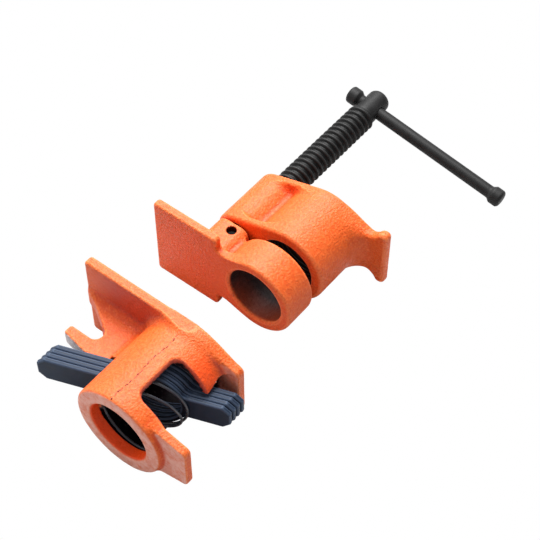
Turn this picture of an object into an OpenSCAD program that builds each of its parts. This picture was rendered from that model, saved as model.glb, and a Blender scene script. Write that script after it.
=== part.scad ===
// Woodworking pipe clamp for a 3/4 inch pipe: a screw head with a sliding jaw, and a tail stop
// that grips the pipe with a stack of tilted clutch plates. The pipe itself isn't part of it.
// X runs along the pipe from the tail to the handle, Y towards the jaw faces, Z up.
// The origin is on the pipe's axis, at the mouth of the head's pipe thread.

/* [Pipe] */
// Outside diameter of the pipe
pipe_d = 26.67; // [26:0.01:27.2]
// Radial room between the pipe and the bore of the sliding jaw
jaw_bore_gap = 0.45; // [0.3:0.05:0.7]
// Radial room between the pipe and the bores of the tail stop
tail_bore_gap = 0.85; // [0.5:0.05:1.2]
// Diameter of the head's bore at the crests of its pipe thread
pipe_thread_d = 24.4; // [23.6:0.1:24.8]

/* [Head casting] */
// Distance from the pipe's axis to the screw's axis
screw_y = 27; // [26:0.5:30]
// Length of the head casting along the pipe
head_len = 32; // [28:1:40]
// Outside radius of the head's pipe boss
head_r = 19; // [18:0.5:21]
// Outside radius of the head's screw boss
screw_boss_r = 10.8; // [10.2:0.2:12]
// Thickness of the walls that close the pocket at the front and the back
pocket_wall = 3.6; // [2.5:0.1:5]
// Half thickness of the web between the two bosses
head_web = 6; // [4:0.5:8]
// Distance from the pipe's axis to the edge of the head's foot
foot_reach = 32; // [29:1:36]
// Half width of the head's foot at its edge
foot_half = 15.5; // [14:0.5:18]
// Half width of the foot's waist
foot_waist = 10.7; // [9.8:0.1:12.5]
// Thickness of the head's foot
foot_t = 4.8; // [3.5:0.1:6]
// Radius of the fillet between the foot and the pipe boss
foot_fillet = 9; // [5:0.5:12]

/* [Sliding jaw] */
// Distance from the pipe's axis to the far edge of the jaw
jaw_reach = 54.5; // [50:0.5:60]
// Half width of the sliding jaw's plate
jaw_half = 21.5; // [19:0.5:24]
// Thickness of the sliding jaw's plate
jaw_t = 4; // [3:0.1:5]
// Distance from the pipe's axis to the near edge of the jaw's plate
jaw_near = 20.3; // [19.5:0.1:21.5]
// Half width of the neck between the plate and the ring
jaw_neck = 14.6; // [12:0.2:16]
// Length of the ring that slides on the pipe
ring_len = 16.5; // [13:0.5:19]
// Outside radius of the ring
ring_r = 18.9; // [18:0.1:20]
// Length of the boss that holds the screw's tip, from the jaw face
boss_len = 21; // [19:0.5:24]
// Half height of that boss
boss_half = 9.3; // [8.6:0.1:10.5]
// Half width of that boss
boss_wide = 8.2; // [7.8:0.1:9]
// Corner radius of that boss
boss_corner = 3.4; // [2:0.2:5]

/* [Screw] */
// Outside diameter of the thread
screw_d = 13.4; // [12:0.2:14]
// Length of the thread
thread_len = 93.4; // [80:0.2:110]
// Diameter of the journal that turns in the jaw's boss
journal_d = 10; // [9:0.2:11]
// Length of the journal
journal_len = 15; // [12:0.5:16]
// Diameter of the screw's plain head
screw_head_d = 11; // [10:0.2:12.4]
// Length of the screw's plain head
screw_head_len = 15; // [13:0.5:18]
// Radius of the rounded end of the plain head
screw_head_round = 3; // [1:0.5:4.5]
// Diameter of the retaining pin
pin_d = 4.4; // [3:0.1:5]
// Distance from the jaw face to the retaining pin
pin_x = 16.8; // [15:0.1:18]
// Sideways place of the retaining pin from the screw's axis
pin_y = -1.5; // [-2:0.5:0]
// Depth of the groove that the pin rides in
groove_depth = 1.7; // [1.2:0.1:2.2]
// Depth of the pin's end below the boss
pin_sunk = 1.4; // [0.5:0.1:2.5]

/* [Handle] */
// Diameter of the handle's bar
bar_d = 6; // [5:0.1:7]
// Length of the handle over its ends
bar_len = 88; // [76:1:110]
// Diameter of the handle's upset ends
knob_d = 8.4; // [7.6:0.1:10]
// Length of the handle's upset ends
knob_len = 5.4; // [4:0.2:8]
// Angle of the handle round the screw
bar_angle = 10; // [0:1:45]

/* [Tail casting] */
// Opening between the jaw faces, as photographed
jaw_gap = 37.5; // [20:0.5:80]
// Length of the tail casting from its back face to its jaw face
tail_len = 47.5; // [45:0.5:54]
// Outside radius of the tail's neck
neck_r = 21.5; // [21:0.1:23]
// Wall of the neck
neck_wall = 3.4; // [3:0.1:4]
// Thickness of the back flange
flange_t = 5.4; // [5:0.1:6]
// Distance from the pipe's axis to the edge of the flange's foot
tail_foot_reach = 32.5; // [30:0.5:36]
// Half width of the flange's foot at its edge
tail_foot_half = 10.8; // [9:0.1:13]
// Thickness of the flange's foot
tail_foot_t = 4; // [3:0.1:5]
// Step from the back face to the foot
tail_foot_step = 3.2; // [2:0.1:4]
// Distance from the pipe's axis to the far edge of the tail's jaw
tail_reach = 55; // [52:0.5:60]
// Half width of the tail's jaw plate
tail_half = 22.5; // [22:0.5:25]
// Thickness of the tail's jaw plate
tail_jaw_t = 4.5; // [3.5:0.1:5.5]
// Distance from the pipe's axis to the near end of the tail's jaw plate
tail_near = 26; // [24:0.5:29]
// Half width of the jaw plate at its near end
tail_near_half = 13; // [11:0.5:16]
// Place of the side window's back edge
window_x0 = 8.6; // [8.2:0.1:10]
// Place of the side window's front edge
window_x1 = 31.5; // [31:0.1:32]
// Distance of the window's top edge from the pipe's axis, towards the window's side
window_y = 4.6; // [3:0.2:8]
// Corner radius of the window
window_r = 4; // [2:0.5:6]
// Half height of the way out for the plates' arms, at the beak beside the window
beak_z = 7.4; // [7.1:0.1:8]
// Half height of the way out at the jaw plate
throat_z = 10.5; // [8:0.5:12]
// Length of the finger from the pipe's axis
finger_reach = 48; // [44:0.5:52]
// Thickness of the finger at its tip
finger_t = 4.5; // [3.5:0.1:6]
// Half height of the finger and its web
finger_half = 3.8; // [3:0.1:5]
// Radius of the slot's bottom, between the finger and the web
slot_r = 3.6; // [3:0.1:4.2]
// Distance from the pipe's axis to the bottom of that slot
slot_y = 34.2; // [33.6:0.2:37]

/* [Clutch] */
// Thickness of one clutch plate
plate_t = 2.3; // [2:0.05:2.35]
// Distance between plates along the pipe
plate_pitch = 2.53; // [2.52:0.01:2.6]
// Tilt of the plates with no pipe in them
plate_tilt = 20.5; // [18:0.5:21]
// Tilt at which the pipe runs free
plate_free_tilt = 3; // [2:0.5:5]
// Radial room between the pipe and a plate's hole
plate_hole_gap = 0.7; // [0.5:0.05:0.8]
// Radial room between the plates and the neck's wall
plate_room = 1.5; // [1.4:0.1:1.8]
// Length of a plate's arm on the finger's side
arm_far = 47.5; // [42:0.5:52]
// Length of a plate's arm on the window's side
arm_near = 35; // [32:0.5:36]
// Half width of a plate's arms
arm_half = 6.5; // [5:0.1:6.8]
// Length of the cut corners at a plate's ends
arm_cut = 3.4; // [1:0.2:4.6]
// Distance from the pipe's axis to the plates' fulcrum
fulcrum_y = 32; // [30:0.5:34]
// Place of the first plate on the pipe's axis, from the tail's back face
plate_x = 20.6; // [20:0.1:21]

/* [Spring] */
// Wire diameter of the clutch spring
wire_d = 1.2; // [0.8:0.1:1.2]
// Radial room between the middle of the spring's wire and the neck's wall
coil_room = 3.1; // [2.9:0.05:3.3]
// Number of turns of the clutch spring
coil_turns = 2.5; // [1.5:1:2.5]

/* [Hidden] */
$fn = 48;

// Running and seating clearances
run_gap = 0.06;
shoulder_gap = 0.2;
rest_gap = 1;
bar_gap = 0.15;
pin_gap = 0.03;
groove_gap = 0.2;
tip_gap = 0.5;
touch_gap = 0.05;
bar_rest_gap = 0.35;

// Small cast edges, and the depth by which a cut runs past a face
edge_r = 1.6;
mouth = 1;
past = 1;

// Shares: the fishtail's round bites of the foot's length, the cross hole's place along the plain
// head, and the rounding of the handle's upset ends
bite_share = 0.62;
bar_place = 0.45;
crown_share = 0.35;

// How far the fishtail's waist lies off the boss, how far the gusset reaches into it, and where the
// tail's foot leaves the neck, as an angle off the neck's side
waist_out = 1.4;
gusset_in = 1;
foot_root = 43;
foot_flank = 2.8;

pipe_r = pipe_d / 2;
jaw_bore_r = pipe_r + jaw_bore_gap;
tail_bore_r = pipe_r + tail_bore_gap;
screw_r = screw_d / 2;
journal_r = journal_d / 2;
screw_head_r = screw_head_d / 2;
bar_r = bar_d / 2;
pin_r = pin_d / 2;
knob_r = knob_d / 2;
knob_shoulder = knob_len + knob_r * crown_share;

// Places along the pipe's axis
jaw_x = -(rest_gap + boss_len);
tail_x = jaw_x - jaw_gap - tail_len;
shoulder_x = -rest_gap + shoulder_gap;
screw_head_x = shoulder_x + thread_len;
bar_x = screw_head_x + bar_place * screw_head_len;

// The plates' holes lie a little off the pipe's axis while the plates are tilted
plate_hole_r = pipe_r + plate_hole_gap;
fulcrum_u = fulcrum_y / cos(plate_free_tilt);
plate_y = fulcrum_y - fulcrum_u * cos(plate_tilt);
plate_face = plate_t / 2 / cos(plate_tilt);
cavity_r = neck_r - neck_wall;
plate_r = cavity_r - plate_room;
coil_r = cavity_r - coil_room;

// The finger's nose is the fulcrum. Its face leans away from the last plate on both sides of it.
plate_count = 4;
finger_lean = 10;
lean_spare = 2;
nose_lean = plate_tilt + lean_spare;
fulcrum_x = plate_x + (plate_count - 1) * plate_pitch - fulcrum_u * sin(plate_tilt) + plate_face;
nose_x = fulcrum_x + touch_gap;
far_exit_x = nose_x + (fulcrum_y - cavity_r) * tan(nose_lean);
tail_inner_x = tail_len - tail_jaw_t;

orange = [0.93, 0.36, 0.14];
black = [0.09, 0.09, 0.10];
blued = [0.22, 0.25, 0.31];

// An outline in Y and Z, made into a solid along X
module along_x(from_x, to_x)
    translate([from_x, 0, 0]) rotate([90, 0, 90]) linear_extrude(to_x - from_x) children();

// A round bar along X
module rod(from_x, to_x, r)
    translate([from_x, 0, 0]) rotate([0, 90, 0]) cylinder(h = to_x - from_x, r = r);

// A cone along X
module taper(from_x, to_x, r0, r1)
    translate([from_x, 0, 0]) rotate([0, 90, 0]) cylinder(h = to_x - from_x, r1 = r0, r2 = r1);

// A rectangle with round corners, between two corner points
module soft_rect(p0, p1, r) {
    for (a = [p0[0] + r, p1[0] - r], b = [p0[1] + r, p1[1] - r])
        translate([a, b]) circle(r);
    translate([p0[0] + r, p0[1]]) square([p1[0] - p0[0] - 2 * r, p1[1] - p0[1]]);
    translate([p0[0], p0[1] + r]) square([p1[0] - p0[0], p1[1] - p0[1] - 2 * r]);
}

// The outline that wraps the pipe boss and the screw boss, drawn tight round both
module two_boss_outline() {
    lean = (head_r - screw_boss_r) / screw_y;
    rise = sqrt(1 - lean * lean);
    circle(head_r);
    translate([screw_y, 0]) circle(screw_boss_r);
    polygon([
        [head_r * lean, head_r * rise], [screw_y + screw_boss_r * lean, screw_boss_r * rise],
        [screw_y + screw_boss_r * lean, -screw_boss_r * rise], [head_r * lean, -head_r * rise]]);
}

// A fishtail foot: a block whose sides are drawn in by a round waist next to the boss
module fishtail(reach, half, waist) {
    bite = (reach - head_r) * bite_share;
    waist_y = -head_r - waist_out;
    difference() {
        translate([-reach, -half]) square([reach, 2 * half]);
        for (side = [-1, 1]) {
            translate([waist_y, side * (waist + bite)]) circle(bite);
            translate([waist_y, side * (waist + half) - half]) square([head_r * 2, 2 * half]);
        }
    }
}

module head_casting() {
    foot_x = head_len - foot_t;
    color(orange) difference() {
        union() {
            rod(0, head_len, head_r);
            translate([0, screw_y, 0]) rod(0, head_len, screw_boss_r);
            along_x(0, pocket_wall) two_boss_outline();
            along_x(head_len - pocket_wall, head_len) two_boss_outline();
            translate([0, 0, -head_web]) cube([head_len, screw_y, 2 * head_web]);
            along_x(foot_x, head_len) fishtail(foot_reach, foot_half, foot_waist);
            // Gusset that runs from the boss into the foot
            difference() {
                translate([foot_x - foot_fillet, -head_r - foot_fillet + gusset_in, gusset_in - foot_waist])
                    cube([foot_fillet + gusset_in, foot_fillet + gusset_in, 2 * (foot_waist - gusset_in)]);
                translate([foot_x - foot_fillet, -head_r - foot_fillet + gusset_in, -foot_waist])
                    cylinder(h = 2 * foot_waist, r = foot_fillet);
            }
        }
        rod(-past, head_len + past, pipe_thread_d / 2);
        translate([0, screw_y, 0]) rod(-past, head_len + past, screw_r + run_gap);
        translate([0, screw_y, 0]) taper(head_len - mouth, head_len + 0.01, screw_r, screw_r + mouth);
    }
}

module movable_jaw() {
    color(orange) translate([jaw_x, 0, 0]) difference() {
        union() {
            along_x(0, jaw_t) soft_rect([jaw_near, -jaw_half], [jaw_reach, jaw_half], edge_r);
            along_x(0, jaw_t) translate([0, -jaw_neck]) square([jaw_near + edge_r, 2 * jaw_neck]);
            rod(0, ring_len, ring_r);
            along_x(0, boss_len)
                soft_rect([screw_y - boss_wide, -boss_half], [screw_y + boss_wide, boss_half], boss_corner);
            // Web that fills the corner between the boss and the ring
            translate([0, 0, boss_corner - boss_half])
                cube([ring_len, screw_y, 2 * (boss_half - boss_corner)]);
        }
        rod(-past, ring_len + past, jaw_bore_r);
        taper(-0.01, mouth, jaw_bore_r + mouth, jaw_bore_r);
        translate([0, screw_y, 0])
            rod(boss_len - journal_len - tip_gap, boss_len + past, journal_r + run_gap);
        translate([pin_x, screw_y + pin_y, 0]) cylinder(h = boss_half + past, r = pin_r + pin_gap);
    }
}

module retaining_pin() {
    pin_z = journal_r - groove_depth + groove_gap;
    color(blued) translate([jaw_x + pin_x, screw_y + pin_y, pin_z])
        cylinder(h = boss_half - pin_sunk - pin_z, r = pin_r);
}

module clamp_screw() {
    tip_x = jaw_x + boss_len - journal_len;
    end_x = screw_head_x + screw_head_len;
    groove_x = jaw_x + pin_x;
    color(black) translate([0, screw_y, 0]) difference() {
        union() {
            taper(tip_x, tip_x + mouth, journal_r - mouth, journal_r);
            rod(tip_x + mouth, shoulder_x, journal_r);
            taper(shoulder_x, shoulder_x + mouth, screw_r - mouth, screw_r);
            rod(shoulder_x + mouth, screw_head_x - mouth, screw_r);
            taper(screw_head_x - mouth, screw_head_x, screw_r, screw_head_r);
            rod(screw_head_x, end_x - screw_head_round, screw_head_r);
            translate([end_x - screw_head_round, 0, 0]) rotate([0, 90, 0]) rotate_extrude() {
                square([screw_head_r - screw_head_round, screw_head_round]);
                intersection() {
                    translate([screw_head_r - screw_head_round, 0]) circle(screw_head_round);
                    square(screw_head_r);
                }
            }
        }
        // Groove for the retaining pin
        difference() {
            rod(groove_x - pin_r - groove_gap, groove_x + pin_r + groove_gap, screw_r);
            rod(groove_x - screw_r, groove_x + screw_r, journal_r - groove_depth);
        }
        // Cross hole for the handle
        translate([bar_x, 0, 0]) rotate([bar_angle, 0, 0]) rotate([90, 0, 0])
            cylinder(h = 4 * screw_r, r = bar_r + bar_gap, center = true);
    }
}

// One half of the handle's outline turned round its axis: bar, and an upset end at each tip
module handle_outline() {
    crown = knob_r * crown_share;
    core = knob_r - crown;
    square([bar_r, bar_len]);
    for (far = [0, 1]) translate([0, far * bar_len]) mirror([0, far]) {
        square([core, knob_len]);
        translate([0, crown]) square([knob_r, knob_len - 2 * crown]);
        for (b = [crown, knob_len - crown]) translate([core, b]) circle(crown);
        polygon([[0, knob_len - crown], [core, knob_len], [bar_r, knob_shoulder], [0, knob_shoulder]]);
    }
}

module sliding_handle() {
    near_end = screw_head_r + knob_shoulder + bar_rest_gap;
    color(black) translate([bar_x, screw_y, 0]) rotate([bar_angle, 0, 0])
        translate([0, near_end, 0]) rotate([90, 0, 0]) rotate_extrude() handle_outline();
}

// The tail's jaw plate: full width along the jaw, narrower round the pipe
module tail_jaw_outline() {
    soft_rect([0, -tail_half], [tail_reach, tail_half], edge_r);
    polygon([[edge_r, tail_half], [0, tail_half], [-tail_near, tail_near_half],
             [-tail_near, -tail_near_half], [0, -tail_half], [edge_r, -tail_half]]);
}

// The flange's foot: tapers from the neck to its edge
module tail_foot_outline() {
    root_y = neck_r * cos(foot_root);
    root_z = neck_r * sin(foot_root);
    flank_y = root_y + foot_flank;
    polygon([
        [0, root_z], [-root_y, root_z], [-flank_y, root_z - foot_flank / 4],
        [-tail_foot_reach, tail_foot_half], [-tail_foot_reach, -tail_foot_half],
        [-flank_y, foot_flank / 4 - root_z], [-root_y, -root_z], [0, -root_z]]);
}

// The finger and its web, drawn in X and Y from the tail's back face. A slot with a round bottom
// parts them. From the slot, the web's edge runs straight to the far end of the jaw plate.
module finger_outline() {
    tip_x = nose_x + (finger_reach - fulcrum_y) * tan(finger_lean);
    web_end = [tail_inner_x, tail_reach - edge_r];
    slot = [tip_x + finger_t + slot_r, slot_y + slot_r];
    reach = web_end - slot;
    turn = atan2(reach[1], reach[0]) - acos(slot_r / norm(reach));
    difference() {
        polygon([
            [far_exit_x, cavity_r], [nose_x, fulcrum_y], [tip_x, finger_reach],
            [tip_x + finger_t, finger_reach], slot - [slot_r, 0], slot + slot_r * [cos(turn), sin(turn)],
            web_end, [tail_len - past, tail_reach - edge_r], [tail_len - past, cavity_r]]);
        translate(slot) circle(slot_r);
    }
}

// The way out for the near arms, drawn in X and Z
module arm_way_outline()
    polygon([
        [window_x0, beak_z], [window_x1, beak_z], [tail_inner_x, throat_z],
        [tail_inner_x, -throat_z], [window_x1, -beak_z], [window_x0, -beak_z]]);

module tail_casting() {
    side = neck_r + past;
    color(orange) translate([tail_x, 0, 0]) difference() {
        union() {
            rod(0, tail_len, neck_r);
            along_x(tail_inner_x, tail_len) tail_jaw_outline();
            along_x(tail_foot_step, tail_foot_step + tail_foot_t) tail_foot_outline();
            translate([0, 0, -finger_half]) linear_extrude(2 * finger_half) finger_outline();
        }
        rod(-past, tail_len + past, tail_bore_r);
        taper(-0.01, mouth, tail_bore_r + mouth, tail_bore_r);
        rod(flange_t, tail_inner_x, cavity_r);
        // Side window, with round corners towards the top of the neck and towards its underside
        translate([0, 0, -side]) linear_extrude(2 * side)
            soft_rect([window_x0, -side - window_r], [window_x1, -window_y], window_r);
        // Way out for the plates' near arms, wider from the beak to the jaw plate
        rotate([90, 0, 0]) translate([0, 0, side - neck_r]) linear_extrude(neck_r) arm_way_outline();
        // Way out for the plates' far arms
        translate([flange_t, 0, -beak_z - past])
            cube([far_exit_x - flange_t, side, 2 * (beak_z + past)]);
    }
}

// A plate's two arms, with their corners cut
module arms_outline() {
    polygon([
        [-arm_near + arm_cut, arm_half], [arm_far - arm_cut, arm_half], [arm_far, arm_half - arm_cut],
        [arm_far, arm_cut - arm_half], [arm_far - arm_cut, -arm_half], [-arm_near + arm_cut, -arm_half],
        [-arm_near, arm_cut - arm_half], [-arm_near, arm_half - arm_cut]]);
}

module clutch_plate(n) {
    color(blued) translate([tail_x + plate_x + (n - 1) * plate_pitch, plate_y, 0])
        rotate([0, 0, plate_tilt]) difference() {
            union() {
                rod(-plate_t / 2, plate_t / 2, plate_r);
                along_x(-plate_t / 2, plate_t / 2) arms_outline();
            }
            rod(-plate_t, plate_t, plate_hole_r);
        }
}

module clutch_plate_1() clutch_plate(1);
module clutch_plate_2() clutch_plate(2);
module clutch_plate_3() clutch_plate(3);
module clutch_plate_4() clutch_plate(4);

// The spring climbs from the flange to the first plate, whose face leans away towards the window.
// At a share s of its length, climb(s) is the share of the way to the plate: its ends lie nearly flat.
coil_steps = 24;
coil_start = 90;
wire_sides = 6;
coil_rings = ceil(coil_turns * coil_steps);
coil_x0 = flange_t + wire_d / 2 + touch_gap;
coil_seat = plate_face + wire_d / 2 + 3 * touch_gap;
end_flat = 0.8;

function climb(s) = s - end_flat * sin(360 * s) / (2 * PI);

function coil_angle(s) = coil_start + 360 * coil_turns * s;
function coil_point(s) =
    let (y = coil_r * cos(coil_angle(s)), x1 = plate_x - coil_seat - (y - plate_y) * tan(plate_tilt))
    [coil_x0 + (x1 - coil_x0) * climb(s), y, coil_r * sin(coil_angle(s))];
function wire_ring(s) =
    let (p = coil_point(s), out = [0, cos(coil_angle(s)), sin(coil_angle(s))])
    [for (k = [0:wire_sides - 1])
        let (b = 360 * k / wire_sides)
        p + wire_d / 2 * (sin(b) * [1, 0, 0] + cos(b) * out)];

// The least gap between one turn of the spring and another
coil_gap = min([for (i = [0:coil_rings], j = [i + coil_steps / 2:coil_rings])
    norm(coil_point(i / coil_rings) - coil_point(j / coil_rings))]) - wire_d;
echo(coil_gap = coil_gap);

module clutch_spring() {
    points = [for (i = [0:coil_rings]) each wire_ring(i / coil_rings)];
    sides = [for (i = [0:coil_rings - 1], k = [0:wire_sides - 1])
        let (a = i * wire_sides + k, b = i * wire_sides + (k + 1) % wire_sides)
        each [[a, b, a + wire_sides], [b, b + wire_sides, a + wire_sides]]];
    first = [for (k = [1:wire_sides - 2]) [0, k + 1, k]];
    last = [for (k = [1:wire_sides - 2]) [0, k, k + 1] + coil_rings * wire_sides * [1, 1, 1]];
    color(black) translate([tail_x, 0, 0]) polyhedron(points, concat(sides, first, last));
}

head_casting();
movable_jaw();
retaining_pin();
clamp_screw();
sliding_handle();
tail_casting();
clutch_plate_1();
clutch_plate_2();
clutch_plate_3();
clutch_plate_4();
clutch_spring();
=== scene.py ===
# %% [markdown]
# # A pipe clamp in orange paint and black steel
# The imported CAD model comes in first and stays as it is: it carries the sizes, the joints and the
# collision. This script adds what a plain solid lacks, and hides the solids that it stands for.
# All numbers below are in millimetres, as in a workshop, and become metres when a mesh is made.

# %% The frame
import math

import bpy
import numpy as np
from mathutils import Matrix


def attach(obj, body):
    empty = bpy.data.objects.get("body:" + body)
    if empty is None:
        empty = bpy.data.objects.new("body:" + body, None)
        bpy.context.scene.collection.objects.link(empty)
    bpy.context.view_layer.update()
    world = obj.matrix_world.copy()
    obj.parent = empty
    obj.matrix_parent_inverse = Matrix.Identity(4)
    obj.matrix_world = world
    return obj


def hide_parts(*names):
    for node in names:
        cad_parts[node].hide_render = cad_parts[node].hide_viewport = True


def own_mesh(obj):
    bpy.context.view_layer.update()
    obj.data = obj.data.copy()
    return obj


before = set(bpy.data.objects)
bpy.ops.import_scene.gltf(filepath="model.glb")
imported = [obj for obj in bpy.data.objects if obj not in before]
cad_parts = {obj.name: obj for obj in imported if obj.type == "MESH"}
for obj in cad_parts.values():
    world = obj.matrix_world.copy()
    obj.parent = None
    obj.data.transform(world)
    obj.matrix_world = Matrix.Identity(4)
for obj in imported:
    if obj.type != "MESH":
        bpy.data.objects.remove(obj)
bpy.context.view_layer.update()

MM = 0.001

# %% [markdown]
# ## The camera
# The picture was taken from above the jaw side, through a long lens. A camera is placed by its own
# three directions: right, up, and back towards the photographer. The point in the middle of the
# picture is given from the mouth of the sliding jaw's bore, so that the two pictures lie on each other.

# %% Camera
AZIMUTH, ELEVATION, ROLL = -51.8, 51.33, 0.2
DISTANCE = 600.0
PIXELS_PER_MM = 2.388
IMAGE = 540
JAW_FACE = -22.0
MIDDLE_RIGHT, MIDDLE_UP = 6.86, 11.5


def view_axes(azimuth, elevation, roll=0.0):
    """Right, up and back of a camera: azimuth turns it round Z, elevation lifts it, roll tips it."""
    a, e, r = (math.radians(v) for v in (azimuth, elevation, roll))
    right = np.array([math.cos(a), math.sin(a), 0.0])
    back = np.array([math.sin(a) * math.cos(e), -math.cos(a) * math.cos(e), math.sin(e)])
    up = np.cross(back, right)
    return right * math.cos(r) + up * math.sin(r), up * math.cos(r) - right * math.sin(r), back


right, up, back = view_axes(AZIMUTH, ELEVATION, ROLL)
middle = np.array([JAW_FACE, 0.0, 0.0]) + MIDDLE_RIGHT * right + MIDDLE_UP * up
eye = (middle + DISTANCE * back) * MM
lens = bpy.data.cameras.new("photo_camera")
lens.sensor_width = 36.0
lens.lens = 36.0 * PIXELS_PER_MM * DISTANCE / IMAGE
lens.clip_start = 0.01
lens.clip_end = 20.0
camera = bpy.data.objects.new("photo_camera", lens)
camera.matrix_world = Matrix([[*map(float, row), float(e)] for row, e in
                              zip(np.stack([right, up, back], axis=1), eye)] + [[0, 0, 0, 1]])
bpy.context.scene.collection.objects.link(camera)
bpy.context.scene.camera = camera
print("lens", round(lens.lens, 1), "mm")

# %% [markdown]
# ## Castings as distance functions
# A casting has no sharp corners: molten iron rounds every edge, and the pattern maker fills every
# inside corner. Bevels on a mesh struggle where three forms run together. A distance function
# doesn't: for each point in space it says how far the surface is, below zero inside. Two forms join
# by taking the smaller distance, a cut takes the larger one, and both can be rounded on the way.

# %% Rounded joins and cuts
def round_and(a, b, r):
    """What lies in both: the larger distance, its outside corner turned to a circle of radius r."""
    return np.minimum(-r, np.maximum(a, b)) + np.hypot(np.maximum(a + r, 0), np.maximum(b + r, 0))


def round_or(a, b, r):
    """What lies in either: the smaller distance, its inside corner filled to a circle of radius r."""
    return -round_and(-a, -b, r)


def cut(a, b, r):
    """Form a without form b, with the lip of the cut rounded to r."""
    return round_and(a, -b, r)


def slab(t, lo, hi):
    """Distance to the space between two planes: how far t lies from the middle, less half the gap."""
    return np.abs(t - (lo + hi) / 2) - (hi - lo) / 2


def disc(u, v, r, u0=0.0, v0=0.0):
    """Distance to a circle round (u0, v0)."""
    return np.hypot(u - u0, v - v0) - r


def rect(u, v, lo, hi, corner):
    """Distance to a rectangle from corner lo to corner hi, with its corners rounded."""
    a = slab(u, lo[0], hi[0]) + corner
    b = slab(v, lo[1], hi[1]) + corner
    return np.hypot(np.maximum(a, 0), np.maximum(b, 0)) + np.minimum(np.maximum(a, b), 0) - corner


def beside(u, v, start, end):
    """Signed distance to the line from start to end, above zero on its left."""
    du, dv = end[0] - start[0], end[1] - start[1]
    return ((v - start[1]) * du - (u - start[0]) * dv) / math.hypot(du, dv)


def lumps(x, y, z):
    """The slight waviness of cast iron: three crossed waves, 5 to 11 mm long, 0.02 mm high."""
    return 0.02 * (np.sin(x * 0.9 + 1.7 * np.sin(y * 0.31)) * np.sin(y * 0.8 + z * 0.45)
                   + 0.6 * np.sin(z * 1.25 + 1.3 * np.sin(x * 0.4)) * np.sin(y * 1.1 - x * 0.5))


print("distance tools ready")

# %% [markdown]
# ## From distances to a mesh
# The function is measured on a fine lattice. Each little cube that the surface passes through gets
# one point, at the middle of the places where its edges cross the surface, and each lattice edge
# that crosses gets one four-sided face. This is the method of surface nets. A few steps downhill
# along the gradient then put each point on the true surface, so the facets of the lattice vanish.

# %% Surface nets
def gradient(f, p, h=0.05):
    """Slope of f at the points p, from its values a step h to either side on each axis."""
    step = np.eye(3) * h
    return np.stack([(f(*(p + s).T) - f(*(p - s).T)) / (2 * h) for s in step], axis=1)


def surface_net(f, lo, hi, cell):
    """Points, four-sided faces and outward normals of the surface f = 0 inside a box."""
    axes = [np.arange(a - 1.3 * cell, b + 2.3 * cell, cell) for a, b in zip(lo, hi)]
    size = tuple(len(a) for a in axes)
    d = np.broadcast_to(f(*np.meshgrid(*axes, indexing="ij", sparse=True)), size)
    inside = d < 0
    n = tuple(s - 1 for s in size)
    corners = [(i, j, k) for i in (0, 1) for j in (0, 1) for k in (0, 1)]
    count = sum(inside[i:i + n[0], j:j + n[1], k:k + n[2]].astype(np.int8) for i, j, k in corners)
    crossed = (count > 0) & (count < 8)
    cells = np.stack(np.nonzero(crossed), axis=1)
    number = np.full(n, -1, np.int32)
    number[crossed] = np.arange(len(cells))

    total, hits = np.zeros((len(cells), 3)), np.zeros(len(cells))
    for axis in range(3):
        for b in (0, 1):
            for c in (0, 1):
                start = np.roll([0, b, c], axis)
                end = start + np.roll([1, 0, 0], axis)
                da, db = d[tuple((cells + start).T)], d[tuple((cells + end).T)]
                hit = (da < 0) != (db < 0)
                at = np.where(hit, da / np.where(hit, da - db, 1.0), 0.0)
                total += hit[:, None] * (start + at[:, None] * (end - start))
                hits += hit
    origin = np.array([a[0] for a in axes])
    points = origin + (cells + total / hits[:, None]) * cell

    faces = []
    for axis in range(3):
        u, v = np.roll(np.eye(3, dtype=int), -1 - axis, axis=0)[:2]
        near = [slice(1, -1)] * 3
        near[axis] = slice(0, -1)
        far = list(near)
        far[axis] = slice(1, None)
        a, b = inside[tuple(near)], inside[tuple(far)]
        first = np.array([0 if i == axis else 1 for i in range(3)])
        edge = np.stack(np.nonzero(a != b), axis=1)
        leaving = a[tuple(edge.T)]
        at = edge + first
        quad = np.stack([number[tuple((at - s).T)] for s in (u + v, v, 0 * u, u)], axis=1)
        faces.append(np.where(leaving[:, None], quad, quad[:, ::-1]))
    faces = np.concatenate(faces)

    for _ in range(4):
        g = gradient(f, points)
        step = f(*points.T) / np.maximum((g * g).sum(1), 0.2)
        points = points - np.clip(step, -cell, cell)[:, None] * g
    g = gradient(f, points)
    return points, faces, g / np.linalg.norm(g, axis=1)[:, None]


def roundness(f, p, h=0.55):
    """How the surface bends at p: sum of f a step h away on all six sides, over h squared.
    It is about 1/r on a round edge of radius r, and below zero in a hollow."""
    step = np.concatenate([np.eye(3), -np.eye(3)]) * h
    return sum(f(*(p + s).T) for s in step) / (h * h)


def shade(bend):
    """Roundness as a value from 0 to 1 for the materials: 0.5 is flat, 0 a hollow, 1 a sharp edge."""
    return np.clip(0.5 + bend / 2.4, 0, 1)


# %% Into Blender
def add_piece(name, points, faces, body, stands_for=(), normals=None, layers=None, smooth=True):
    """Puts points in mm and faces into a mesh that rides on a body. Layers are named point values, and
    stands_for lists the solids that the piece takes the place of."""
    mesh = bpy.data.meshes.new(name)
    mesh.from_pydata(points * MM, [], faces)
    for layer, values in (layers or {}).items():
        mesh.attributes.new(layer, "FLOAT", "POINT").data.foreach_set("value", values.astype(np.float32))
    mesh.polygons.foreach_set("use_smooth", np.full(len(mesh.polygons), smooth))
    mesh.update()
    if normals is not None:
        mesh.normals_split_custom_set_from_vertices(normals)
    piece = bpy.data.objects.new(name, mesh)
    bpy.context.scene.collection.objects.link(piece)
    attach(piece, body)
    if stands_for:
        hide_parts(*stands_for)
    print(f"{name}: {len(points)} points, {len(faces)} faces")
    return piece


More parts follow.
